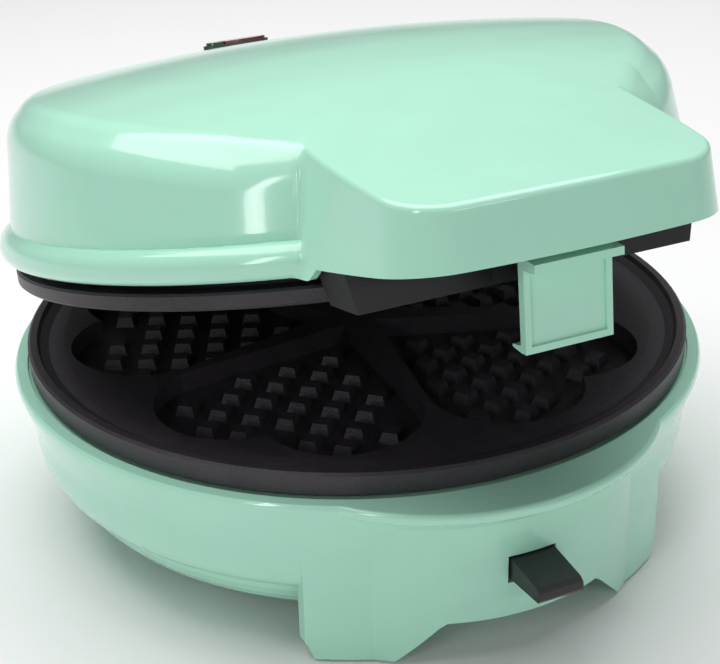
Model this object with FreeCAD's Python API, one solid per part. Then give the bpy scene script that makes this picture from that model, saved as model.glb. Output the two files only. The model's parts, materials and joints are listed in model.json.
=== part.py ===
import FreeCAD, Part
import math
import os

os.makedirs("parts", exist_ok=True)
V = FreeCAD.Vector

# ------------------------------------------------------------------ driving dimensions (mm)
# frame: origin on the floor under the plates' centre, +X to the object's left-to-right width,
# -Y to the front (handle side), +Z up
lid_open_deg = 13.3          # how far the lid stands open in the rest pose
hinge_y, hinge_z = 116.4, 70.7
hinge_pin_r = 2.5

plate_r = 106.1              # outer radius of both baking plates
plate_top_z = 62.0           # rim of the lower plate
plate_band = 7.2             # height of its outer band
plate_lip = 3.0              # raised lip on the rim
up_plate_z = 62.6            # rim of the upper plate, closed
up_plate_band = 4.8
heart_turn_deg = -133.0      # direction of the first heart
cavity_depth = 6.4
peg_pitch, peg_base, peg_top, peg_h = 10.6, 6.4, 4.4, 3.6

drum_r = 106.6
flange_r, flange_top_z = 111.0, 54.6
wall_t = 2.6
seam_z = 23.0                # lower edge of the drum wall
block_cy, block_r = -46.0, 67.0      # front block's arc
ledge_cy, ledge_r = -52.5, 69.2      # catch ledge's arc
ledge_under_z, ledge_top_z = 51.0, 54.6
skirt_x, skirt_z = 59.5, 14.0        # front skirt's half width and lower edge
foot_in, foot_out = 38.0, 57.0
foot_z = 0.8

bead_r = 109.9
lid_bottom_z = 70.0
handle_bottom_z, handle_front_y = 73.0, -140.0

latch_half = 12.8
latch_py, latch_pz = -130.3, 77.0    # latch pin, lid closed
latch_lean_deg = 6.5
latch_len, latch_hook = 30.4, 5.0
pin_r = 1.5
button_half = 7.0
cord_hole_r = 3.6

# ------------------------------------------------------------------ helpers
def box(x0, x1, y0, y1, z0, z1):
    return Part.makeBox(x1 - x0, y1 - y0, z1 - z0, V(x0, y0, z0))


def cyl(r, z0, z1, x=0.0, y=0.0):
    return Part.makeCylinder(r, z1 - z0, V(x, y, z0))


def xcyl(r, x0, x1, y, z):
    return Part.makeCylinder(r, x1 - x0, V(x0, y, z), V(1, 0, 0))


def ycyl(r, y0, y1, x, z):
    return Part.makeCylinder(r, y1 - y0, V(x, y0, z), V(0, 1, 0))


def rev(pts):
    """solid of revolution about Z from closed (r, z) points"""
    w = Part.makePolygon([V(r, 0, z) for r, z in pts] + [V(pts[0][0], 0, pts[0][1])])
    return Part.Face(w).revolve(V(0, 0, 0), V(0, 0, 1), 360)


def rev_curve(curve, tail):
    """revolve a smooth outline through the (r, z) points of curve, closed by straight lines"""
    s = Part.BSplineCurve()
    s.interpolate([V(r, 0, z) for r, z in curve])
    e = [s.toShape()]
    pts = [curve[-1]] + tail + [curve[0]]
    for a, b in zip(pts[:-1], pts[1:]):
        e.append(Part.makeLine(V(a[0], 0, a[1]), V(b[0], 0, b[1])))
    return Part.Face(Part.Wire(e)).revolve(V(0, 0, 0), V(0, 0, 1), 360)


def prism(pts, z0, z1):
    w = Part.makePolygon([V(x, y, z0) for x, y in pts] + [V(pts[0][0], pts[0][1], z0)])
    return Part.Face(w).extrude(V(0, 0, z1 - z0))


def yz_prism(pts, x0, x1):
    w = Part.makePolygon([V(x0, y, z) for y, z in pts] + [V(x0, pts[0][0], pts[0][1])])
    return Part.Face(w).extrude(V(x1 - x0, 0, 0))


def round_wire(pts, radii, z):
    """closed wire through the corners with a fillet radius at each"""
    n = len(pts)
    P = [V(x, y, z) for x, y in pts]
    ends = []
    for i in range(n):
        a, b, c = P[i - 1], P[i], P[(i + 1) % n]
        u, w = (a - b), (c - b)
        u.normalize()
        w.normalize()
        ang = u.getAngle(w)
        r = radii[i]
        d = r / math.tan(ang / 2)
        bis = (u + w)
        bis.normalize()
        cen = b + bis * (r / math.sin(ang / 2))
        mid = cen - bis * r
        ends.append((b + u * d, mid, b + w * d))
    e = []
    for i in range(n):
        e.append(Part.Arc(*ends[i]).toShape())
        e.append(Part.makeLine(ends[i][2], ends[(i + 1) % n][0]))
    return Part.Wire(e)


def fuse_all(items):
    s = items[0]
    return s.multiFuse(items[1:]) if len(items) > 1 else s


def tidy(s):
    s = s.removeSplitter()
    return s


def opened(s):
    """carry a lid piece from its closed place to the rest pose"""
    s = s.copy()
    s.rotate(V(0, hinge_y, hinge_z), V(1, 0, 0), -lid_open_deg)
    return s


def save(name, shape, lid=False):
    if lid:
        shape = opened(shape)
    if shape.ShapeType == "Compound" and len(shape.Solids) == 1:
        shape = shape.Solids[0]
    shape.exportStep("parts/%s.step" % name)
    bb = shape.BoundBox
    print("%-24s solids %d valid %s  x %.1f..%.1f y %.1f..%.1f z %.1f..%.1f" % (
        name, len(shape.Solids), shape.isValid(), bb.XMin, bb.XMax, bb.YMin, bb.YMax, bb.ZMin, bb.ZMax))


# ------------------------------------------------------------------ heart cavities
def heart_pts(s):
    """outline of one heart, tip at the centre, axis along +X, s shrinks it from the edge"""
    tip, half = 5.0 + 1.6 * s, math.radians(36.0)
    pts = []
    # lower flank, lobe, cusp, lobe, upper flank
    off = 1.3 + s
    def flank(r, sign):
        a = sign * half
        px, py = r * math.cos(a), r * math.sin(a)
        nx, ny = math.sin(a) * sign, -math.cos(a) * sign
        return (px + nx * off * 1.0, py + ny * off * 1.0)
    pts.append((tip * 1.6, 0.0))
    pts.append(flank(40.0, -1))
    pts.append(flank(67.0, -1))
    lobe = [(79.0, -37.0), (86.5, -30.0), (90.5, -19.5), (89.5, -10.0)]
    for x, y in lobe:
        r, a = math.hypot(x, y), math.atan2(y, x)
        pts.append(((r - s) * math.cos(a), (r - s) * math.sin(a)))
    cusp = (83.5 - s, 0.0)
    up = [(x, -y) for x, y in reversed(pts[1:])]
    return pts, cusp, up


def heart_face(s, z):
    lo, cusp, up = heart_pts(s)
    b1 = Part.BSplineCurve()
    b1.interpolate([V(x, y, z) for x, y in lo[2:]] + [V(cusp[0], 0, z)])
    b2 = Part.BSplineCurve()
    b2.interpolate([V(cusp[0], 0, z)] + [V(x, y, z) for x, y in up[:-1]])
    e = [Part.makeLine(V(lo[0][0], 0, z), V(lo[2][0], lo[2][1], z)), b1.toShape(), b2.toShape(),
         Part.makeLine(V(up[-2][0], up[-2][1], z), V(lo[0][0], 0, z))]
    return Part.Face(Part.Wire(e))


def peg(z, up):
    """square tapered stud, base at z, pointing +Z (up=1) or -Z (up=-1)"""
    b, t = peg_base / 2, peg_top / 2
    w0 = Part.makePolygon([V(-b, -b, z), V(b, -b, z), V(b, b, z), V(-b, b, z), V(-b, -b, z)])
    z1 = z + up * peg_h
    w1 = Part.makePolygon([V(-t, -t, z1), V(t, -t, z1), V(t, t, z1), V(-t, t, z1), V(-t, -t, z1)])
    return Part.makeLoft([w0, w1], True, True)


def peg_places():
    out = []
    for i in range(0, 8):
        for j in range(-4, 5):
            x, y = 24.0 + i * peg_pitch, j * peg_pitch
            if x > 84 or abs(y) > (x - 8.5) * math.tan(math.radians(36)) - 5.2:
                continue
            if math.hypot(x, y) > 85.0 - (6.5 if abs(y) < 3 else 0) - 4.0:
                continue
            out.append((x, y))
    return out


def hearts(z_floor, up):
    """five heart solids to cut (open to the side the food is on) and the studs to add"""
    cuts, pegs = [], []
    one = heart_face(0.0, z_floor).extrude(V(0, 0, up * 14))
    studs = []
    for x, y in peg_places():
        p = peg(z_floor - up * 0.4, up)
        p.translate(V(x, y, 0))
        studs.append(p)
    for k in range(5):
        a = heart_turn_deg + 72 * k
        c = one.copy()
        c.rotate(V(0, 0, 0), V(0, 0, 1), a)
        cuts.append(c)
        for p in studs:
            q = p.copy()
            q.rotate(V(0, 0, 0), V(0, 0, 1), a)
            pegs.append(q)
    return cuts, pegs


# ------------------------------------------------------------------ lower plate
zt = plate_top_z
zb = zt - plate_band
floor_z = zt - 1.9 - cavity_depth
plate = rev([(0, floor_z - 2.6), (94.5, floor_z - 2.6), (96.0, floor_z - 1.2), (96.0, zb + 0.6), (99.0, zb),
             (105.4, zb), (plate_r, zb + 0.7), (plate_r, zt - 0.8), (105.3, zt), (plate_r - plate_lip, zt),
             (102.2, zt - 1.4), (99.6, zt - 2.6), (97.4, zt - 2.2), (94.8, zt - 1.9), (0, zt - 1.9)])
cuts, pegs = hearts(floor_z, 1)
plate = plate.cut(cuts[0].multiFuse(cuts[1:])).multiFuse(pegs)
plate = tidy(plate)
plate = tidy(plate.cut(box(-8.6, 8.6, 103.6, 107, 57.8, 59.4)))
save("lower_plate", plate)

# upper plate, cavity facing down
uz = up_plate_z
u_floor = uz + 1.9 + cavity_depth
up_plate = rev([(0, u_floor + 2.4), (94.5, u_floor + 2.4), (96.0, u_floor + 1.2), (96.0, uz + up_plate_band - 0.6),
                (99.0, uz + up_plate_band), (105.4, uz + up_plate_band), (plate_r, uz + up_plate_band - 0.7),
                (plate_r, uz + 0.8), (105.3, uz), (plate_r - plate_lip, uz), (102.2, uz + 1.4),
                (99.6, uz + 2.6), (97.4, uz + 2.2), (94.8, uz + 1.9), (0, uz + 1.9)])
cuts, pegs = hearts(u_floor, -1)
up_plate = tidy(up_plate.cut(cuts[0].multiFuse(cuts[1:])).multiFuse(pegs))
up_plate = tidy(up_plate.cut(box(-8.6, 8.6, 103.6, 107, 64.4, 65.9)))
save("upper_plate", up_plate, True)

# ------------------------------------------------------------------ base shell
outer = rev_curve([(103.0, seam_z), (105.6, 27.0), (106.5, 31.5), (106.7, 36.5), (107.6, 41.5), (109.2, 46.5),
                   (110.5, 50.5), (flange_r, 53.0), (110.2, flange_top_z)],
                  [(0, flange_top_z), (0, seam_z)])
inner = rev([(100.6, seam_z - 1), (100.6, seam_z), (103.0, 27.5), (103.9, 32), (103.9, 51.9), (0, 51.9),
             (0, seam_z - 1)])


def block_plan(dr, z0, z1, x_half):
    a = cyl(drum_r - dr, z0, z1)
    b = cyl(block_r - dr, z0, z1, 0, block_cy)
    return a.fuse(b).common(box(-x_half, x_half, -130, -62, z0, z1))


skirt = block_plan(0.0, foot_z, 52.0, skirt_x)
# lower edge of the skirt between and beside the feet
notch = []
w = Part.makePolygon([V(-foot_in - 0.5, -140, foot_z - 1), V(-26.5, -140, skirt_z - 1.5), V(-24.5, -140, skirt_z),
                      V(24.5, -140, skirt_z), V(26.5, -140, skirt_z - 1.5), V(foot_in + 0.5, -140, foot_z - 1),
                      V(-foot_in - 0.5, -140, foot_z - 1)])
notch.append(Part.Face(w).extrude(V(0, 90, 0)))
for s in (-1, 1):
    w = Part.makePolygon([V(s * foot_out, -140, foot_z - 1), V(s * (skirt_x - 0.8), -140, 5.0),
                          V(s * (skirt_x + 2), -140, 9.0), V(s * (skirt_x + 2), -140, foot_z - 1),
                          V(s * foot_out, -140, foot_z - 1)])
    notch.append(Part.Face(w).extrude(V(0, 90, 0)))
skirt = skirt.cut(fuse_all(notch))
skirt_in = block_plan(wall_t + 0.4, -1, 49.6, skirt_x - wall_t)
skirt_in = skirt_in.cut(cyl(103.6, -1, seam_z - 0.0).common(box(-80, 80, -62.5, 0, -2, seam_z)))
# the skirt is open behind, below the drum's wall
foot_back = box(-skirt_x - 1, skirt_x + 1, -86.0, -60, foot_z - 1, seam_z + 0.001)

ledge = cyl(ledge_r, ledge_under_z, ledge_top_z, 0, ledge_cy)
ledge = ledge.makeFillet(1.5, [e for e in ledge.Edges if e.Curve.TypeId == "Part::GeomCircle"])
ledge = ledge.common(box(-60, 60, -130, -88, 45, 56))
cove = cyl(block_r, 44.0, 50.5, 0, block_cy)
cove = Part.makeCone(block_r - 0.2, block_r + 3.6, 6.3, V(0, block_cy, 44.9)).common(
    box(-60, 60, -130, -88, 40, 56))

# rear hinge block with two ears
rear = box(-36, 36, 88, 123, 12.0, flange_top_z)
rear = rear.makeFillet(5.0, [e for e in rear.Edges if abs(e.Vertexes[0].Point.x - e.Vertexes[1].Point.x) < 0.01
                             and abs(e.Vertexes[0].Point.y - e.Vertexes[1].Point.y) < 0.01
                             and e.Vertexes[0].Point.y > 100])
rear_feet = fuse_all([box(20, 36, 104, 123, foot_z, 20), box(-36, -20, 104, 123, foot_z, 20)])
ears = []
for s in (-1, 1):
    x0, x1 = (22.0, 33.0) if s > 0 else (-33.0, -22.0)
    ear = yz_prism([(108.0, 50.0), (123.0, 50.0), (hinge_y + 8.4, hinge_z), (hinge_y - 8.4, hinge_z)], x0, x1)
    ears.append(ear.fuse(xcyl(8.5, x0, x1, hinge_y, hinge_z)))
rear_in = box(-33.4, 33.4, 85, 120.4, 11.0, 50.0)
foot_bed = fuse_all([box(17.4, 33.4, 106.6, 120.4, foot_z - 1, 12), box(-33.4, -17.4, 106.6, 120.4, foot_z - 1, 12)])

shell = outer.multiFuse([skirt, ledge, cove, rear, rear_feet] + ears)
hollow = inner.multiFuse([skirt_in, rear_in])
shell = shell.cut(hollow)
shell = shell.cut(foot_back.common(cyl(103.4, -2, 60)))
# solid pads for the feet, screw bosses, opening for the plate
front_sole = block_plan(0.0, foot_z, 5.0, foot_out - 1.0).cut(fuse_all(notch)).cut(cyl(98.0, -1, 10))
shell = shell.fuse(front_sole)
bosses, ribs, holes = [], [], []
boss_xy = []
for a in (40, 140, 220, 320):
    t = math.radians(a)
    x, y = 78.0 * math.cos(t), 78.0 * math.sin(t)
    boss_xy.append((x, y))
    bosses.append(cyl(4.2, 9.4, 37.4, x, y))
    holes.append(cyl(1.6, 8, 24, x, y))
    rib = box(76.0, 104.4, -1.2, 1.2, 26.0, 37.4)
    rib.rotate(V(0, 0, 0), V(0, 0, 1), a)
    ribs.append(rib)
shell = shell.multiFuse(bosses + ribs)
shell = shell.cut(fuse_all(holes))
shell = shell.cut(cyl(101.0, -1, 24.4).common(box(-40, 40, 60, 110, -2, 30)))
shell = shell.cut(cyl(97.2, 40, 60).fuse(rev([(97.0, 52), (100.2, 53.4), (106.9, 53.4), (106.9, 56), (97.0, 56)])))
# button slot, clip slots and the cord hole
shell = shell.cut(box(-button_half - 0.6, button_half + 0.6, -130, -98, 25.0, 33.8))
shell = shell.cut(ycyl(cord_hole_r + 2.6, 115, 126, 0, 33.0))
shell = shell.cut(fuse_all([xcyl(hinge_pin_r, 21, 31, hinge_y, hinge_z), xcyl(hinge_pin_r, -31, -21, hinge_y, hinge_z)]))
# wiring passes up through the rear block to the lid's barrel
shell = shell.cut(box(-6, 6, 111.4, 116.4, 48, 60))
shell = tidy(shell)
save("base_shell", shell)

# ------------------------------------------------------------------ bottom cover
cover = rev([(0, 6.8), (80, 6.8), (86, 7.4), (90, 8.9), (93, 10.8), (95.6, 13.0), (97.6, 15.6), (99.2, 18.6),
             (100.0, 21.4), (100.3, 24.2), (98.1, 24.2), (97.7, 20.5), (95.7, 16.6), (91.6, 12.4), (85.3, 9.6),
             (80, 9.0), (0, 9.0)])
cover = cover.fuse(box(-8, 8, -91.5, -89.0, 8.0, 34.5))
bowl = rev([(0, 6.8), (80, 6.8), (86, 7.4), (90, 8.9), (93, 10.8), (95.6, 13.0), (97.6, 15.6), (99.2, 18.6),
            (100.0, 21.4), (0, 21.4)])
cover = cover.fuse(box(-14, 14, 88.5, 95.0, 7.5, 21.4).common(bowl)).fuse(box(-14, 14, 88.5, 95.0, 21.0, 24.8))
cover = cover.cut(fuse_all([cyl(1.9, 5, 10, x, y) for x, y in boss_xy]))
vents = []
for i in range(-4, 5):
    vents.append(box(i * 7.0 - 1.2, i * 7.0 + 1.2, -22, 22, 5, 10))
cover = tidy(cover.cut(fuse_all(vents)))
save("bottom_cover", cover)

screws = [cyl(1.55, 6.8, 22.0, x, y).fuse(cyl(3.0, 5.2, 6.8, x, y)).cut(
    fuse_all([box(x - 2, x + 2, y - 0.35, y + 0.35, 5, 6.1), box(x - 0.35, x + 0.35, y - 2, y + 2, 5, 6.1)]))
    for x, y in boss_xy]
save("base_screws", Part.makeCompound(screws))

pads = []
for s in (-1, 1):
    p = block_plan(1.2, 0.0, foot_z, foot_out - 2.2).cut(cyl(99.2, -1, 10)).cut(box(-foot_in - 1.7, foot_in + 1.7,
                                                                                 -140, 0, -1, 3))
    pads.append(p.common(box(min(0, s * 80), max(0, s * 80), -140, 0, -1, 3)))
    pads.append(box(min(s * 18.6, s * 34.8), max(s * 18.6, s * 34.8), 105.4, 121.6, 0.0, foot_z))
save("foot_pads", Part.makeCompound([q for p in pads for q in p.Solids]))

# ------------------------------------------------------------------ base heating
pan = rev([(0, 37.5), (80, 37.5), (86.6, 42.0), (86.6, 49.6), (85.6, 49.6), (85.6, 42.6), (79.6, 38.5), (0, 38.5)])
pan = tidy(pan.cut(fuse_all([cyl(12.6, 36, 40), box(-26, -12, 66, 92, 40.2, 52), box(12, 26, 66, 92, 40.2, 52)])))
save("lower_heater_pan", pan)


def element(z, R, y_end, z_end):
    """open ring of heater tube with two straight legs to the back"""
    a = math.radians(18)
    tube = Part.makeTorus(R, 3.2, V(0, 0, z), V(0, 0, 1), -180, 180, 360 - 36)
    tube.rotate(V(0, 0, z), V(0, 0, 1), 90 + 18)
    legs = []
    for s in (-1, 1):
        x, y = s * R * math.sin(a), R * math.cos(a)
        legs.append(ycyl(3.2, y - 1.0, y_end, x, z))
        legs.append(ycyl(1.0, y_end, y_end + 7.0, x, z))
    return tidy(tube.multiFuse(legs))


heater = element(46.4, 60.0, 84.0, 46.4)
save("lower_heating_element", heater)


def ring_clips(z_pan, z, R, up):
    """saddles that straddle the ring tube: a block with a clearance channel along the ring"""
    out = []
    ring = Part.makeTorus(R, 3.25, V(0, 0, z))
    for a in (-90, 0, 180):
        z0, z1 = sorted([z_pan, z + up * 2.6])
        c = box(R - 5.0, R + 5.0, -4, 4, z0, z1)
        c.rotate(V(0, 0, 0), V(0, 0, 1), a)
        out += c.cut(ring).Solids
    return out


save("lower_element_clips", Part.makeCompound(ring_clips(38.5, 46.4, 60.0, 1)))
stat = cyl(12.0, 40.5, 47.0).fuse(cyl(5.0, 47.0, 50.9)).fuse(cyl(3.0, 34.0, 40.5)).fuse(box(-20, 20, -5, 5, 38.6, 40.5))
save("thermostat", tidy(stat))
fuse_link = xcyl(2.4, -42, -26, 0, 43.0).fuse(xcyl(0.7, -48, -20.5, 0, 43.0)).fuse(box(-36.5, -31.5, -2, 2, 38.6, 42.0))
save("thermal_fuse", tidy(fuse_link))

term = box(-17, 17, 88.0, 96.0, 24.8, 35.0)
term = term.cut(fuse_all([cyl(1.8, 29, 36, x, 92.0) for x in (-11, 0, 11)]))
term = term.fuse(fuse_all([cyl(1.75, 29, 34.2, x, 92.0) for x in (-11, 0, 11)])).fuse(box(-20, 20, 90, 94, 24.8, 26.4))
save("terminal_block", tidy(term))


def run(pts, r):
    """round wire through points, bent smoothly"""
    c = Part.BSplineCurve()
    c.interpolate([V(*p) for p in pts])
    w = Part.Wire([c.toShape()])
    t = c.tangent(c.FirstParameter)[0]
    ring = Part.Wire([Part.makeCircle(r, V(*pts[0]), t)])
    return w.makePipeShell([ring], True, True)


wires = [run([(-11, 96.2, 31), (-13, 99.6, 33), (-17, 96.5, 40), (-18.6, 92.2, 46.0)], 1.1),
         run([(11, 96.2, 31), (13, 99.6, 33), (17, 96.5, 40), (18.6, 92.2, 46.0)], 1.1),
         run([(0, 96.4, 31), (0, 98.8, 31), (0, 107, 36), (0, 113.9, 47), (0, 113.9, 56.5)], 1.5),
         run([(-6, 87.5, 31), (-9, 80, 30), (-20, 40, 29), (-10, 4, 29.5), (-2, 0, 32.7)], 1.1)]
save("base_wires", Part.makeCompound(wires))

gland = ycyl(cord_hole_r + 2.5, 114.0, 123.0, 0, 33.0).fuse(ycyl(8.6, 123.0, 125.6, 0, 33.0)).fuse(
    Part.makeCone(6.4, 5.2, 7.6, V(0, 125.6, 33.0), V(0, 1, 0))).cut(ycyl(cord_hole_r, 110, 140, 0, 33.0))
save("cord_gland", tidy(gland))

pins = [xcyl(hinge_pin_r, 9.0, 30.9, hinge_y, hinge_z), xcyl(hinge_pin_r, -30.9, -9.0, hinge_y, hinge_z)]
save("hinge_pins", Part.makeCompound(pins))

clip = box(-8, 8, 106.6, 111.0, 54.65, 55.7).fuse(box(-8, 8, 106.6, 107.6, 54.65, 59.1)).fuse(
    box(-8, 8, 104.0, 107.6, 58.1, 59.1))
save("lower_plate_clip", tidy(clip))

# ------------------------------------------------------------------ release buttons
def coil(r, wire, y0, y1, turns, x, z):
    h = Part.makeHelix((y1 - y0 - 2 * wire) / turns, y1 - y0 - 2 * wire, r)
    w = Part.Wire(h.Edges)
    e = w.Edges[0]
    p = e.valueAt(e.FirstParameter)
    t = e.tangentAt(e.FirstParameter)
    s = w.makePipeShell([Part.Wire([Part.makeCircle(wire, p, t)])], True, True)
    s.rotate(V(0, 0, 0), V(1, 0, 0), -90)
    s.translate(V(x, y0 + wire, z))
    return s


but = yz_prism([(-127.4, 27.2), (-128.2, 28.4), (-127.8, 30.4), (-126.4, 31.4), (-113.0, 33.2), (-106.5, 33.2),
                (-106.5, 26.4), (-113.0, 26.4)], -button_half, button_half)
but = but.fuse(box(-10, 10, -108.8, -106.5, 24.2, 34.8)).fuse(ycyl(1.6, -106.5, -101.5, 0, 29.6))
save("lower_release_button", tidy(but))
save("lower_release_spring", coil(2.6, 0.35, -106.4, -91.6, 7, 0, 29.6))

ub = box(-button_half, button_half, -119.6, -113.2, 64.9, 70.1).fuse(box(-7.9, 7.9, -114.0, -113.2, 64.9, 70.1))
ub = tidy(ub.makeFillet(0.8, [e for e in ub.Edges if e.BoundBox.YMax < -119.5]))
save("upper_release_button", ub, True)
save("upper_release_spring", coil(2.0, 0.3, -113.1, -108.9, 3, 0, 67.5), True)

# ------------------------------------------------------------------ lid outer form
PROF = [(-175, 82.0), (-150, 86.8), (-138, 90.0), (-126, 93.3), (-115, 96.4), (-100, 100.4), (-81, 106.0),
        (-60, 112.2), (-45, 116.0), (-18, 120.8), (0, 122.4), (20, 123.2), (40, 122.9), (60, 121.9), (80, 120.3),
        (95, 118.6), (110, 116.4), (140, 111.0)]


def top_z(x, y):
    for (a, za), (b, zb_) in zip(PROF[:-1], PROF[1:]):
        if a <= y <= b:
            z = za + (zb_ - za) * (y - a) / (b - a)
            break
    return z - 0.0007 * x * x


def above(dz):
    """everything over the lid's top surface, lowered by dz"""
    rows = []
    for y in [p[0] for p in PROF]:
        rows.append([V(x, y, top_z(x, y) - dz) for x in (-125, -95, -70, -45, -20, 0, 20, 45, 70, 95, 125)])
    s = Part.BSplineSurface()
    s.interpolate(rows)
    return s.toShape().extrude(V(0, 0, 70))


def handle(dr, z0, z1):
    lo = [(-57.5 + dr, -70), (-57.5 + dr, -97.5), (-44.8 + dr, -137.2 + dr), (0, -141.0 + dr),
          (44.8 - dr, -137.2 + dr), (57.5 - dr, -97.5), (57.5 - dr, -70)]
    hi = [(-50.6 + dr, -70), (-50.6 + dr, -89.0), (-43.6 + dr, -137.2 + dr), (0, -141.0 + dr),
          (43.6 - dr, -137.2 + dr), (50.6 - dr, -89.0), (50.6 - dr, -70)]
    rad = [1.0, 10.0, 11.0 - dr, 90.0, 11.0 - dr, 10.0, 1.0]
    return Part.makeLoft([round_wire(lo, rad, z0), round_wire(hi, rad, z1)], True, True)


dome = rev_curve([(107.4, lid_bottom_z), (109.2, 71.0), (bead_r, 73.6), (109.3, 76.6), (107.2, 79.4), (105.5, 82.0)],
                 [(104.5, 88.0), (103.3, 96.0), (102.6, 100.0), (101.4, 102.8), (94.9, 113.4), (91.0, 118.2),
                  (86.0, 124.0), (84.0, 135.0), (0, 135.0), (0, lid_bottom_z)])
dome_in = rev([(106.9, 69.0), (107.1, 74.0), (106.0, 77.0), (103.1, 81.4), (101.9, 88.0), (100.7, 96.0), (100.0, 99.6),
               (98.9, 101.8), (92.4, 112.2), (88.6, 116.8), (83.4, 122.5), (80.0, 135), (0, 135), (0, 69.0)])
body = dome.fuse(handle(0.0, handle_bottom_z, 104.0)).cut(above(0.0))
void = dome_in.fuse(handle(wall_t, 69.0, 104.0)).cut(above(wall_t))
lid = body.cut(void)
arm = yz_prism([(99.0, 71.0), (112.0, hinge_z - 3.0), (124.2, hinge_z + 1.0), (121.5, 79.5), (112.0, 90.0),
                (99.0, 97.0)], -20.8, 20.8).fuse(xcyl(8.0, -20.8, 20.8, hinge_y, hinge_z))
arm = arm.cut(box(-17.6, 17.6, 90, 108.0, 73.5, 90.0))
arm = arm.cut(cyl(99.5, 60, 100))
lid = lid.fuse(arm)
swing = [xcyl(9.6, 21.2, 34.6, hinge_y, hinge_z), xcyl(9.6, -34.6, -21.2, hinge_y, hinge_z)]
lid = lid.cut(fuse_all(swing))
lid = lid.cut(box(-17.6, 17.6, 96, 106, 74.0, 89.0))
lid = lid.cut(xcyl(hinge_pin_r + 0.06, -40, 40, hinge_y, hinge_z))
lid = lid.cut(box(-6, 6, 104, 120, 58, 78))
lid = lid.cut(box(-8.6, 8.6, 96, 108, 64, 73.5))
lid_bosses, lid_holes, lid_xy = [], [], []
for a in (28, 152, 205, 335):
    t = math.radians(a)
    x, y = 100.2 * math.cos(t), 100.2 * math.sin(t)
    lid_xy.append((x, y))
    lid_bosses.append(cyl(3.4, 73.4, 95.0, x, y))
    lid_holes.append(cyl(1.3, 72, 88, x, y))
lid = lid.fuse(fuse_all(lid_bosses).common(dome)).cut(fuse_all(lid_holes))


def oval(a, b, z0, z1, y=82.0):
    e = Part.Ellipse(V(0, y, z0), a, b)
    return Part.Face(Part.Wire([e.toShape()])).extrude(V(0, 0, z1 - z0))


lid = tidy(lid.cut(oval(12.3, 5.3, 100, 130)))
save("lid_shell", lid, True)

# ------------------------------------------------------------------ indicator window
bezel = oval(12.2, 5.2, 113.0, 121.6).cut(oval(11.2, 4.3, 112, 123)).fuse(
    oval(11.4, 4.5, 113.0, 121.4).common(box(-5.9, -5.3, 70, 95, 100, 130)))
save("indicator_bezel", tidy(bezel), True)
lens = oval(11.15, 4.25, 114.0, 122.6)
save("indicator_lens_red", lens.common(box(-5.25, 20, 70, 95, 100, 130)), True)
save("indicator_lens_green", lens.common(box(-20, -5.95, 70, 95, 100, 130)), True)


def lamp(x):
    return cyl(2.2, 104.5, 111.5, x, 82.0).fuse(Part.makeSphere(2.2, V(x, 82.0, 111.5))).fuse(
        cyl(3.0, 102.0, 104.5, x, 82.0))


save("indicator_lamps", Part.makeCompound([tidy(lamp(3.0)), tidy(lamp(-8.0))]), True)

# ------------------------------------------------------------------ lid liner (black inner cover)
liner = rev([(97.6, 71.0), (106.5, 71.0), (106.5, 73.3), (99.8, 73.3), (99.8, 80.0), (97.6, 80.0)])
liner = liner.cut(fuse_all([cyl(3.5, 73.35, 90, x, y) for x, y in lid_xy]))
floor = handle(wall_t + 0.6, 73.0, 104.0).common(box(-60, 60, -140, -80, 74.4, 76.6))
apron = prism([(-52.4, -112.0), (-52.4, -86.0), (52.4, -86.0), (52.4, -112.0)], 63.0, 76.0)
w0 = Part.makePolygon([V(-49.4, -112, 62.0), V(49.4, -112, 62.0), V(52.4, -112, 76.0), V(-52.4, -112, 76.0),
                       V(-49.4, -112, 62.0)])
apron = Part.Face(w0).extrude(V(0, 26, 0)).cut(cyl(107.2, 50, 70.6)).cut(cyl(97.7, 50, 90))
apron = apron.cut(cyl(106.0, 76.0, 90))
nose = box(-11.5, 11.5, -116.6, -107.6, 63.2, 76.0)
pin_boss = fuse_all([box(14.6, 18.4, latch_py - 3.4, latch_py + 3.4, 74.4, latch_pz + 3.4),
                     box(-18.4, -14.6, latch_py - 3.4, latch_py + 3.4, 74.4, latch_pz + 3.4)])
liner = liner.multiFuse([floor, apron, nose, pin_boss])
liner = liner.cut(cyl(97.6, 60, 95))
liner = liner.cut(box(-13.6, 13.6, -139.5, -123.0, 60, 90))
liner = liner.cut(xcyl(pin_r, -18.0, 18.0, latch_py, latch_pz))
liner = liner.cut(box(-7.2, 7.2, -118, -113.0, 64.7, 70.3).fuse(box(-8.2, 8.2, -114.1, -108.7, 64.7, 70.3)))
liner = liner.cut(fuse_all([cyl(1.5, 70, 75, x, y) for x, y in lid_xy]))
liner = liner.cut(fuse_all(swing)).cut(box(-18, 18, 98, 110, 73.4, 95)).cut(box(-8.6, 8.6, 101.0, 108, 69, 72.2))
# keep clear of the lid's wall all round
liner = tidy(liner.cut(lid))
liner = max(liner.Solids, key=lambda q: q.Volume)
save("lid_liner", liner, True)
lid_screws = [cyl(1.25, 71.0, 86.0, x, y).fuse(cyl(2.6, 69.6, 71.0, x, y)) for x, y in lid_xy]
save("lid_screws", Part.makeCompound(lid_screws), True)
uclip = box(-8, 8, 101.4, 107.4, 71.0 - 0.05, 72.1).fuse(box(-8, 8, 106.4, 107.4, 64.6, 72.1)).fuse(
    box(-8, 8, 104.0, 107.4, 64.6, 65.6))
save("upper_plate_clip", tidy(uclip), True)

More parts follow.
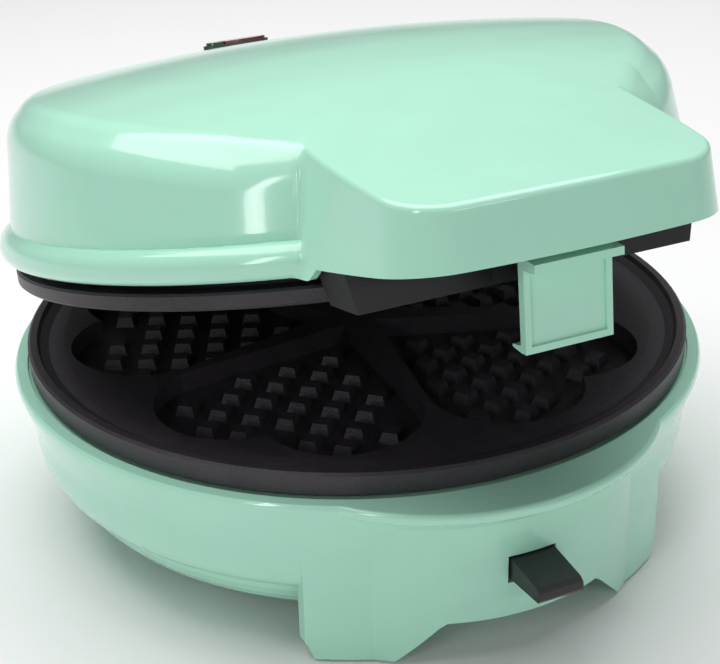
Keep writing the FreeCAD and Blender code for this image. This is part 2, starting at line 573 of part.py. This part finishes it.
# ------------------------------------------------------------------ lid heating
upan = rev([(0, 88.0), (80, 88.0), (86.6, 83.5), (86.6, 75.2), (85.6, 75.2), (85.6, 82.9), (79.6, 87.0), (0, 87.0)])
upan = tidy(upan.cut(fuse_all([box(-26, -12, 66, 92, 70, 84.6), box(12, 26, 66, 92, 70, 84.6)])))
save("upper_heater_pan", upan, True)
save("upper_heating_element", element(78.2, 60.0, 84.0, 78.2), True)
save("upper_element_clips", Part.makeCompound(ring_clips(87.0, 78.2, 60.0, -1)), True)
lw = [run([(-18.6, 92.2, 78.6), (-17, 93.6, 83), (-12, 92.0, 92), (-9, 85, 98), (-8, 82.2, 100.8)], 1.1),
      run([(18.6, 92.2, 78.6), (16, 93.6, 83), (10, 92.0, 92), (5, 85, 98), (3, 82.2, 100.8)], 1.1)]
save("lid_wires", Part.makeCompound(lw), True)

# ------------------------------------------------------------------ latch
h = latch_half
L = latch_len
latch = box(-h, h, -1.5, 1.0, -L, 0.0).cut(box(-h + 1.8, h - 1.8, -1.6, -0.8, -L + 1.8, -9.4))
latch = latch.fuse(xcyl(3.2, -h, h, 0, 0))
latch = latch.fuse(yz_prism([(1.0, -L), (latch_hook, -L + 0.6), (latch_hook, -L + 1.3), (1.0, -L + 1.9)], -h, h))
latch = latch.fuse(yz_prism([(-1.4, -8.4), (-7.0, -7.9), (-7.0, -5.7), (-1.4, -5.2)], -h, h))
latch = tidy(latch.cut(xcyl(pin_r + 0.06, -h - 1, h + 1, 0, 0)))
latch.rotate(V(0, 0, 0), V(1, 0, 0), latch_lean_deg)
latch.translate(V(0, latch_py, latch_pz))
save("latch", latch, True)
save("latch_pin", xcyl(pin_r, -18.0, 18.0, latch_py, latch_pz), True)

a = math.radians(lid_open_deg)
dy, dz = latch_py - hinge_y, latch_pz - hinge_z
print("latch pin at rest", 0.0, round(hinge_y + dy * math.cos(a) + dz * math.sin(a), 3),
      round(hinge_z - dy * math.sin(a) + dz * math.cos(a), 3))
print("lid +Y direction at rest", 0.0, round(math.cos(a), 6), round(-math.sin(a), 6))
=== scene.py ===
import json
import math

import bmesh
import bpy
import numpy as np
from mathutils import Matrix, Vector


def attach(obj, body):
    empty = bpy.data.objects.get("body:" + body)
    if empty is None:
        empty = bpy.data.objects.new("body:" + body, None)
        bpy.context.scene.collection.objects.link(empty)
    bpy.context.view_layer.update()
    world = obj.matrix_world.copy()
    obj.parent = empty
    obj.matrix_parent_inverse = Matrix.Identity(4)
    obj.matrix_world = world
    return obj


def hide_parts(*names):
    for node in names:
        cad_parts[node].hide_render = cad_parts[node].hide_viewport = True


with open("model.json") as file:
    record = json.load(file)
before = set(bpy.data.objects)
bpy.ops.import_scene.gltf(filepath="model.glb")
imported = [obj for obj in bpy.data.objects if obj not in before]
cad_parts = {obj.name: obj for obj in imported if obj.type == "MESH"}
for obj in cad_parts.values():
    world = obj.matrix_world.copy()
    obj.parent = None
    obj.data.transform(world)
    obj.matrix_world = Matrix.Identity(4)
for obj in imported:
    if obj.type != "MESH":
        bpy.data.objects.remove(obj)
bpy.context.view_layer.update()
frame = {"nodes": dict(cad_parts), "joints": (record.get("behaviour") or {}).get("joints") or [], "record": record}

MM = 0.001
SHARP_DEG, CAD_SHARP_DEG = 35.0, 28.0      # edges bent more than this stay crisp
JOINTS = {j["name"]: j for j in frame["joints"]}
HINGE = Vector(JOINTS["lid_hinge"]["pos_m"])
LID_OPEN = math.radians(-JOINTS["lid_hinge"]["range_deg"][0])
# carries a closed-lid place (m) to the rest pose
OPEN_LID = Matrix.Translation(HINGE) @ Matrix.Rotation(-LID_OPEN, 4, "X") @ Matrix.Translation(-HINGE)


# ------------------------------------------------------------------ materials
def material(name, color, roughness, metallic=0.0, coat=0.0, coat_roughness=0.05, vary=0.03,
             noise_scale=60.0, bump=0.02, bump_scale=900.0, rough_vary=0.06, speckle=0.0, alpha=1.0):
    """plastic, metal or rubber with colour drift, uneven polish, fine surface grain and optional specks"""
    mat = bpy.data.materials.new(name)
    mat.use_nodes = True
    nodes, links = mat.node_tree.nodes, mat.node_tree.links
    shader = nodes["Principled BSDF"]
    shader.inputs["Metallic"].default_value = metallic
    shader.inputs["Coat Weight"].default_value = coat
    shader.inputs["Coat Roughness"].default_value = coat_roughness
    shader.inputs["Alpha"].default_value = alpha
    place = nodes.new("ShaderNodeTexCoord")

    drift = nodes.new("ShaderNodeTexNoise")
    drift.inputs["Scale"].default_value = noise_scale
    drift.inputs["Detail"].default_value = 4.0
    links.new(place.outputs["Object"], drift.inputs["Vector"])
    ramp = nodes.new("ShaderNodeValToRGB")
    ramp.color_ramp.elements[0].position = 0.3
    ramp.color_ramp.elements[1].position = 0.7
    ramp.color_ramp.elements[0].color = [c * (1 - vary) for c in color] + [1]
    ramp.color_ramp.elements[1].color = [min(1, c * (1 + vary)) for c in color] + [1]
    links.new(drift.outputs["Fac"], ramp.inputs["Fac"])
    color_out = ramp.outputs["Color"]

    grain = nodes.new("ShaderNodeTexNoise")
    grain.inputs["Scale"].default_value = bump_scale
    grain.inputs["Detail"].default_value = 3.0
    links.new(place.outputs["Object"], grain.inputs["Vector"])
    if speckle:
        specks = nodes.new("ShaderNodeValToRGB")
        specks.color_ramp.elements[0].position = 0.62
        specks.color_ramp.elements[1].position = 0.72
        specks.color_ramp.elements[0].color = (0, 0, 0, 1)
        specks.color_ramp.elements[1].color = (speckle, speckle, speckle, 1)
        links.new(grain.outputs["Fac"], specks.inputs["Fac"])
        add = nodes.new("ShaderNodeMix")
        add.data_type = "RGBA"
        add.blend_type = "ADD"
        add.inputs["Factor"].default_value = 1.0
        links.new(color_out, add.inputs["A"])
        links.new(specks.outputs["Color"], add.inputs["B"])
        color_out = add.outputs["Result"]
    links.new(color_out, shader.inputs["Base Color"])

    polish = nodes.new("ShaderNodeMapRange")
    polish.inputs["To Min"].default_value = max(0.02, roughness - rough_vary)
    polish.inputs["To Max"].default_value = min(1.0, roughness + rough_vary)
    links.new(drift.outputs["Fac"], polish.inputs["Value"])
    links.new(polish.outputs["Result"], shader.inputs["Roughness"])

    relief = nodes.new("ShaderNodeBump")
    relief.inputs["Strength"].default_value = bump
    relief.inputs["Distance"].default_value = 0.0004
    links.new(grain.outputs["Fac"], relief.inputs["Height"])
    links.new(relief.outputs["Normal"], shader.inputs["Normal"])
    return mat


MINT = (0.46, 0.84, 0.66)
MATERIALS = {
    "mint_plastic": material("mint_plastic", MINT, 0.14, coat=0.3, coat_roughness=0.03, rough_vary=0.03,
                             vary=0.015, bump=0.03),
    "latch_plastic": material("latch_plastic", MINT, 0.24, coat=0.4, vary=0.015, bump=0.05),
    "plate": material("plate_nonstick", (0.045, 0.039, 0.046), 0.42, metallic=0.25, vary=0.12,
                      noise_scale=120, bump=0.35, bump_scale=1600, speckle=0.035),
    "pan_aluminium": material("pan_aluminium", (0.76, 0.77, 0.78), 0.32, metallic=1.0, vary=0.05, bump=0.2),
    "heater_tube": material("heater_tube", (0.3, 0.28, 0.26), 0.4, metallic=1.0, vary=0.2, bump=0.25),
    "clip_steel": material("clip_steel", (0.6, 0.61, 0.63), 0.28, metallic=1.0, vary=0.06, bump=0.15),
    "zinc_screw": material("zinc_screw", (0.66, 0.67, 0.7), 0.3, metallic=1.0, vary=0.08, bump=0.15),
    "thermostat_body": material("thermostat_body", (0.68, 0.68, 0.69), 0.3, metallic=1.0, bump=0.12),
    "fuse_body": material("fuse_body", (0.66, 0.62, 0.52), 0.33, metallic=1.0, bump=0.12),
    "terminal_plastic": material("terminal_plastic", (0.78, 0.77, 0.72), 0.45, vary=0.04, bump=0.15),
    "wire_sleeve": material("wire_sleeve", (0.6, 0.04, 0.03), 0.5, vary=0.08, bump=0.2),
    "gland_rubber": material("gland_rubber", (0.02, 0.02, 0.021), 0.55, vary=0.15, bump=0.3),
    "pad_rubber": material("pad_rubber", (0.022, 0.022, 0.023), 0.7, vary=0.15, bump=0.4),
    "pin_steel": material("pin_steel", (0.62, 0.63, 0.65), 0.2, metallic=1.0, vary=0.05, bump=0.08),
    "spring_steel": material("spring_steel", (0.55, 0.56, 0.58), 0.25, metallic=1.0, bump=0.08),
    "button_plastic": material("button_plastic", (0.022, 0.02, 0.022), 0.38, vary=0.1, bump=0.2),
    "liner_plastic": material("liner_plastic", (0.016, 0.016, 0.018), 0.5, vary=0.15, bump=0.3),
    "bezel_plastic": material("bezel_plastic", (0.05, 0.045, 0.045), 0.4, vary=0.1, bump=0.15),
    "lens_red": material("lens_red", (0.18, 0.012, 0.022), 0.12, coat=0.8, vary=0.1, bump=0.05),
    "lens_green": material("lens_green", (0.012, 0.09, 0.035), 0.12, coat=0.8, vary=0.1, bump=0.05),
    "lamp_glass": material("lamp_glass", (0.9, 0.75, 0.6), 0.08, vary=0.05, bump=0.02, alpha=0.5),
}

SLOT_OF = {s["node"]: s["material_slot"] for s in frame["record"]["subparts"]}


def dress_cad_nodes():
    """every CAD node gets its slot's material, smooth faces and crisp edges"""
    for name, obj in frame["nodes"].items():
        obj.data.materials.clear()
        obj.data.materials.append(MATERIALS[SLOT_OF[name]])
        obj.data.shade_smooth()
        obj.data.set_sharp_from_angle(angle=math.radians(CAD_SHARP_DEG))


# ------------------------------------------------------------------ mesh helpers
def add_piece(name, mesh, slot_name, body):
    """links a finished mesh as a shaded piece that rides on a body"""
    mesh.shade_smooth()
    mesh.set_sharp_from_angle(angle=math.radians(SHARP_DEG))
    obj = bpy.data.objects.new(name, mesh)
    bpy.context.scene.collection.objects.link(obj)
    mesh.materials.append(MATERIALS[slot_name])
    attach(obj, body)
    return obj


def new_piece(name, verts, faces, slot_name, body):
    """a piece from vertex places (m) and faces"""
    mesh = bpy.data.meshes.new(name)
    mesh.from_pydata([tuple(v) for v in verts], [], faces)
    mesh.validate()
    bm = bmesh.new()
    bm.from_mesh(mesh)
    bmesh.ops.recalc_face_normals(bm, faces=bm.faces)
    bm.to_mesh(mesh)
    bm.free()
    return add_piece(name, mesh, slot_name, body)


def meet_round(a, b, r):
    """intersection of two signed distances with a fillet of radius r"""
    u, v = np.maximum(r + a, 0), np.maximum(r + b, 0)
    return np.minimum(-r, np.maximum(a, b)) + np.hypot(u, v)


def join_round(a, b, r):
    """union of two signed distances with a fillet of radius r"""
    u, v = np.maximum(r - a, 0), np.maximum(r - b, 0)
    return np.maximum(r, np.minimum(a, b)) - np.hypot(u, v)


def line_side(x, y, p, q):
    """signed distance to the line p-q, positive on its right-hand side"""
    dx, dy = q[0] - p[0], q[1] - p[1]
    n = np.hypot(dx, dy)
    return ((x - p[0]) * dy - (y - p[1]) * dx) / n


# ------------------------------------------------------------------ lid outer form, closed lid, mm
LID_BOTTOM, HANDLE_BOTTOM = 70.0, 73.0
WALL = np.array([(105.4, 60.0), (105.4, 82.0), (104.5, 88.0), (103.3, 96.0), (102.8, 100.0), (102.3, 104.0),
                 (101.6, 110.0), (100.4, 120.0), (98.8, 135.0)])
BEAD_Z, BEAD_HALF, BEAD_OUT = 74.6, 4.9, 4.5
SHOULDER_R, SHOULDER_FRONT_R = 94.5, 99.5
TOP_FALL = 0.0007                           # how the top falls away sideways, per mm of x squared
GRIP_SIDE, GRIP_SIDE_DRAFT = 57.5, 6.9      # half width behind the shoulders, and its loss over GRIP_RISE
GRIP_SHOULDER_Y, GRIP_SHOULDER_SHIFT = -97.5, 8.5
GRIP_CORNER, GRIP_CORNER_DRAFT, GRIP_CORNER_Y = 44.8, 1.2, -137.2
GRIP_FRONT_Y, GRIP_FRONT_BOW = -140.6, 0.0019
GRIP_BACK_Y, GRIP_RISE = -60.0, 31.0
WALL_THICKNESS = 2.4
RIDGE = np.array([(-175, 82.0), (-150, 86.8), (-138, 90.0), (-126, 93.3), (-115, 96.4), (-100, 100.4),
                  (-81, 106.0), (-60, 112.2), (-45, 116.0), (-18, 120.8), (0, 122.4), (20, 123.2), (40, 122.9),
                  (60, 121.9), (80, 120.3), (95, 118.6), (110, 116.4), (140, 111.0)])


RIDGE_Y = np.arange(RIDGE[0, 0], RIDGE[-1, 0] + 1.0, 1.0)
WINDOW = np.hanning(31) / np.hanning(31).sum()
RIDGE_Z = np.convolve(np.pad(np.interp(RIDGE_Y, RIDGE[:, 0], RIDGE[:, 1]), len(WINDOW) // 2, mode="reflect",
                             reflect_type="odd"), WINDOW, mode="valid")


def lid_top(x, y):
    """height of the lid's top surface"""
    return np.interp(y, RIDGE_Y, RIDGE_Z) - TOP_FALL * x * x


def lid_distance(x, y, z):
    """below zero inside the lid's outer form: round wall with bead and shoulder, grip, top surface"""
    r = np.hypot(x, y)
    bulge = np.sqrt(np.clip(1 - ((z - BEAD_Z) / BEAD_HALF) ** 2, 0, 1))
    wall = r - np.interp(z, WALL[:, 1], WALL[:, 0]) - BEAD_OUT * bulge
    near_front = np.clip((64.0 - np.abs(x)) / 16.0, 0, 1) * (y < 0)
    rim_r = SHOULDER_R + (SHOULDER_FRONT_R - SHOULDER_R) * near_front
    scale = rim_r / np.maximum(r, 1.0)
    shoulder = (r - rim_r + z - lid_top(x * scale, y * scale)) / math.sqrt(2)
    dome = meet_round(wall, shoulder, 2.5)
    t = np.clip((z - HANDLE_BOTTOM) / GRIP_RISE, -0.2, 1.3)
    ax = np.abs(x)
    side_x = GRIP_SIDE - GRIP_SIDE_DRAFT * t
    shoulder_y = GRIP_SHOULDER_Y + GRIP_SHOULDER_SHIFT * t
    corner_x = GRIP_CORNER - GRIP_CORNER_DRAFT * t
    flank = ax - side_x
    taper = line_side(ax, y, (corner_x, GRIP_CORNER_Y), (side_x, shoulder_y))
    front = -(y - GRIP_FRONT_Y - GRIP_FRONT_BOW * x * x)
    grip = meet_round(meet_round(flank, taper, 9.0), front, 11.0)
    grip = np.maximum(grip, y - GRIP_BACK_Y)
    plan = join_round(dome, grip, 1.4)
    top = (z - lid_top(x, y)) * 0.965
    return meet_round(plan, top, 1.5)


def cast(distance, origin, directions, far=230.0, steps=30):
    """distance along each ray from origin to the surface, by halving"""
    lo = np.zeros(directions.shape[:-1])
    hi = np.full(directions.shape[:-1], far)
    for _ in range(steps):
        mid = (lo + hi) / 2
        p = origin + directions * mid[..., None]
        inside = distance(p[..., 0], p[..., 1], p[..., 2]) < 0
        lo = np.where(inside, mid, lo)
        hi = np.where(inside, hi, mid)
    return (lo + hi) / 2


def ray(az, el):
    """unit direction from azimuth and elevation"""
    return np.stack([np.cos(el) * np.cos(az), np.cos(el) * np.sin(az), np.sin(el)], -1)


def even_rows(points, rows, crispness):
    """resample each column of points by length and bend, so that edges get more rows"""
    out = np.empty((points.shape[0], rows, 3))
    for i, column in enumerate(points):
        step = np.linalg.norm(np.diff(column, axis=0), axis=1)
        way = np.diff(column, axis=0) / np.maximum(step, 1e-9)[:, None]
        turn = np.zeros(len(step))
        turn[1:] = np.arccos(np.clip((way[1:] * way[:-1]).sum(1), -1, 1))
        weight = np.concatenate([[0], np.cumsum(step + crispness * turn)])
        pick = np.linspace(0, weight[-1], rows)
        for k in range(3):
            out[i, :, k] = np.interp(pick, weight, column[:, k])
    return out


def azimuths(front_count, back_count, front_half_deg=58.0):
    """angles round the object, denser across the front"""
    h = math.radians(front_half_deg)
    front = np.linspace(-math.pi / 2 - h, -math.pi / 2 + h, front_count, endpoint=False)
    back = np.linspace(-math.pi / 2 + h, 1.5 * math.pi - h, back_count, endpoint=False)
    return np.concatenate([front, back])


def shell_from_columns(columns, thickness, name, slot_name, body, carry):
    """closed-thickness shell from outer columns (bottom edge first, pole last)"""
    n, rows = columns.shape[:2]
    du = np.roll(columns, -1, 0) - np.roll(columns, 1, 0)
    dv = np.gradient(columns, axis=1)
    normal = np.cross(du, dv)
    normal /= np.maximum(np.linalg.norm(normal, axis=2), 1e-9)[..., None]
    inner = columns - normal * thickness
    level_normal = normal[:, 0] * [1, 1, 0]
    inner[:, 0] = columns[:, 0] - level_normal * thickness
    inner = inner[:, :rows - 1]
    verts = np.concatenate([columns[:, :rows - 1].reshape(-1, 3), inner.reshape(-1, 3),
                            columns[:1, rows - 1], columns[:1, rows - 1] - [[0, 0, thickness]]])
    m = rows - 1
    faces = []
    for i in range(n):
        j = (i + 1) % n
        for k in range(m - 1):
            faces.append((i * m + k, j * m + k, j * m + k + 1, i * m + k + 1))
            a, b = n * m + i * m + k, n * m + j * m + k
            faces.append((b, a, a + 1, b + 1))
        faces.append((j * m, i * m, n * m + i * m, n * m + j * m))
        faces.append((i * m + m - 1, j * m + m - 1, 2 * n * m))
        faces.append((n * m + j * m + m - 1, n * m + i * m + m - 1, 2 * n * m + 1))
    carried = [carry @ Vector(v * MM) for v in verts]
    return new_piece(name, carried, faces, slot_name, body)


def lid_edge_height(az, origin):
    """lower edge of the lid: the handle's underside is a little higher than the bead's"""
    level = ray(az, np.zeros_like(az))
    p = origin + level * cast(lid_distance, origin, level)[..., None]
    over = np.hypot(p[:, 0], p[:, 1]) - (WALL[0, 0] + BEAD_OUT + 0.7)
    return LID_BOTTOM + (HANDLE_BOTTOM - LID_BOTTOM) * np.clip(over / 3.0, 0, 1)


def build_lid_shell():
    origin = np.array([0.0, -18.0, 75.0])
    az = azimuths(300, 260)
    edge_z = lid_edge_height(az, origin)
    plan = cast(lid_distance, origin, ray(az, np.full_like(az, -0.02)))
    low = np.arctan2(edge_z - origin[2], plan)
    fine = 700
    s = np.linspace(0, 1, fine)
    el = low[:, None] + (math.pi / 2 - low[:, None]) * s[None, :] ** 1.5
    d = ray(az[:, None] + 0 * el, el)
    points = origin + d * cast(lid_distance, origin, d)[..., None]
    columns = even_rows(points, 120, 16.0)
    obj = shell_from_columns(columns, WALL_THICKNESS, "lid_cover", "mint_plastic", "lid", OPEN_LID)
    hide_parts("lid_shell")


def extruded(name, outline, x0, x1, bevel, slot_name, body, carry, segments=3):
    """side outline (y, z) in mm, extruded between x0 and x1, with rounded edges"""
    bm = bmesh.new()
    loop = [bm.verts.new((x0 * MM, y * MM, z * MM)) for y, z in outline]
    face = bm.faces.new(loop)
    grown = bmesh.ops.extrude_face_region(bm, geom=[face])
    moved = [g for g in grown["geom"] if isinstance(g, bmesh.types.BMVert)]
    bmesh.ops.translate(bm, verts=moved, vec=((x1 - x0) * MM, 0, 0))
    bmesh.ops.recalc_face_normals(bm, faces=bm.faces)
    keen = [e for e in bm.edges if e.calc_face_angle(0) > math.radians(30)]
    bmesh.ops.bevel(bm, geom=keen, offset=bevel * MM, segments=segments, profile=0.5, affect="EDGES",
                    clamp_overlap=True)
    bm.transform(carry)
    mesh = bpy.data.meshes.new(name)
    bm.to_mesh(mesh)
    bm.free()
    return add_piece(name, mesh, slot_name, body)


def arc(cy, cz, r, a0, a1, count):
    """points (y, z) along an arc, angles in degrees"""
    return [(cy + r * math.cos(math.radians(a0 + (a1 - a0) * i / (count - 1))),
             cz + r * math.sin(math.radians(a0 + (a1 - a0) * i / (count - 1)))) for i in range(count)]


def build_hinge_arm():
    hy, hz = HINGE.y / MM, HINGE.z / MM
    outline = [(101.0, 71.6)] + arc(hy, hz, 7.9, -110, 20, 10) + [(121.3, 79.5), (112.5, 89.0), (101.0, 95.0)]
    extruded("lid_hinge_arm", outline, -20.7, 20.7, 0.9, "mint_plastic", "lid", OPEN_LID)


# ------------------------------------------------------------------ stage, light, camera
def build_stage():
    paper = bpy.data.materials.new("studio_paper")
    paper.use_nodes = True
    shader = paper.node_tree.nodes["Principled BSDF"]
    shader.inputs["Base Color"].default_value = (0.9, 0.9, 0.9, 1)
    shader.inputs["Roughness"].default_value = 0.7
    bm = bmesh.new()
    bmesh.ops.create_grid(bm, x_segments=1, y_segments=1, size=3.0)
    mesh = bpy.data.meshes.new("floor")
    bm.to_mesh(mesh)
    bm.free()
    floor = bpy.data.objects.new("floor", mesh)
    mesh.materials.append(paper)
    bpy.context.scene.collection.objects.link(floor)


def area_light(name, place, aim, size, power):
    light = bpy.data.lights.new(name, "AREA")
    light.shape = "RECTANGLE"
    light.size, light.size_y = size
    light.energy = power
    obj = bpy.data.objects.new(name, light)
    obj.location = place
    obj.rotation_euler = (Vector(aim) - Vector(place)).to_track_quat("-Z", "Y").to_euler()
    bpy.context.scene.collection.objects.link(obj)


def build_lights():
    world = bpy.data.worlds.new("studio")
    world.use_nodes = True
    world.node_tree.nodes["Background"].inputs["Color"].default_value = (1, 1, 1, 1)
    world.node_tree.nodes["Background"].inputs["Strength"].default_value = 0.2
    bpy.context.scene.world = world
    area_light("top_box", (0.0, 0.25, 1.2), (0, 0.05, 0.0), (1.6, 1.2), 19)
    area_light("key_left", (-0.85, -0.62, 0.55), (0, -0.02, 0.07), (0.12, 0.5), 1.6)
    area_light("front_strip", (0.25, -1.3, 0.62), (0, 0, 0.06), (0.5, 0.14), 1.4)


def build_colour():
    """plain colour response, so that pale plastics keep their tint"""
    bpy.context.scene.view_settings.view_transform = "Standard"
    bpy.context.scene.view_settings.look = "None"


def build_camera():
    right = Vector((0.90833, -0.41699, -0.03259))
    up = Vector((0.21586, 0.40062, 0.89045))
    ahead = Vector((0.35825, 0.81586, -0.45391))
    turn = Matrix((right, up, -ahead)).transposed()
    data = bpy.data.cameras.new("camera")
    data.sensor_width = 36.0
    data.lens = 80.0
    data.shift_x = 0.0486
    data.shift_y = 0.0533
    obj = bpy.data.objects.new("camera", data)
    obj.matrix_world = Matrix.Translation((-0.20084, -0.43126, 0.28185)) @ turn.to_4x4()
    bpy.context.scene.collection.objects.link(obj)
    bpy.context.scene.camera = obj


dress_cad_nodes()
build_lid_shell()
build_hinge_arm()
build_stage()
build_lights()
build_colour()
build_camera()
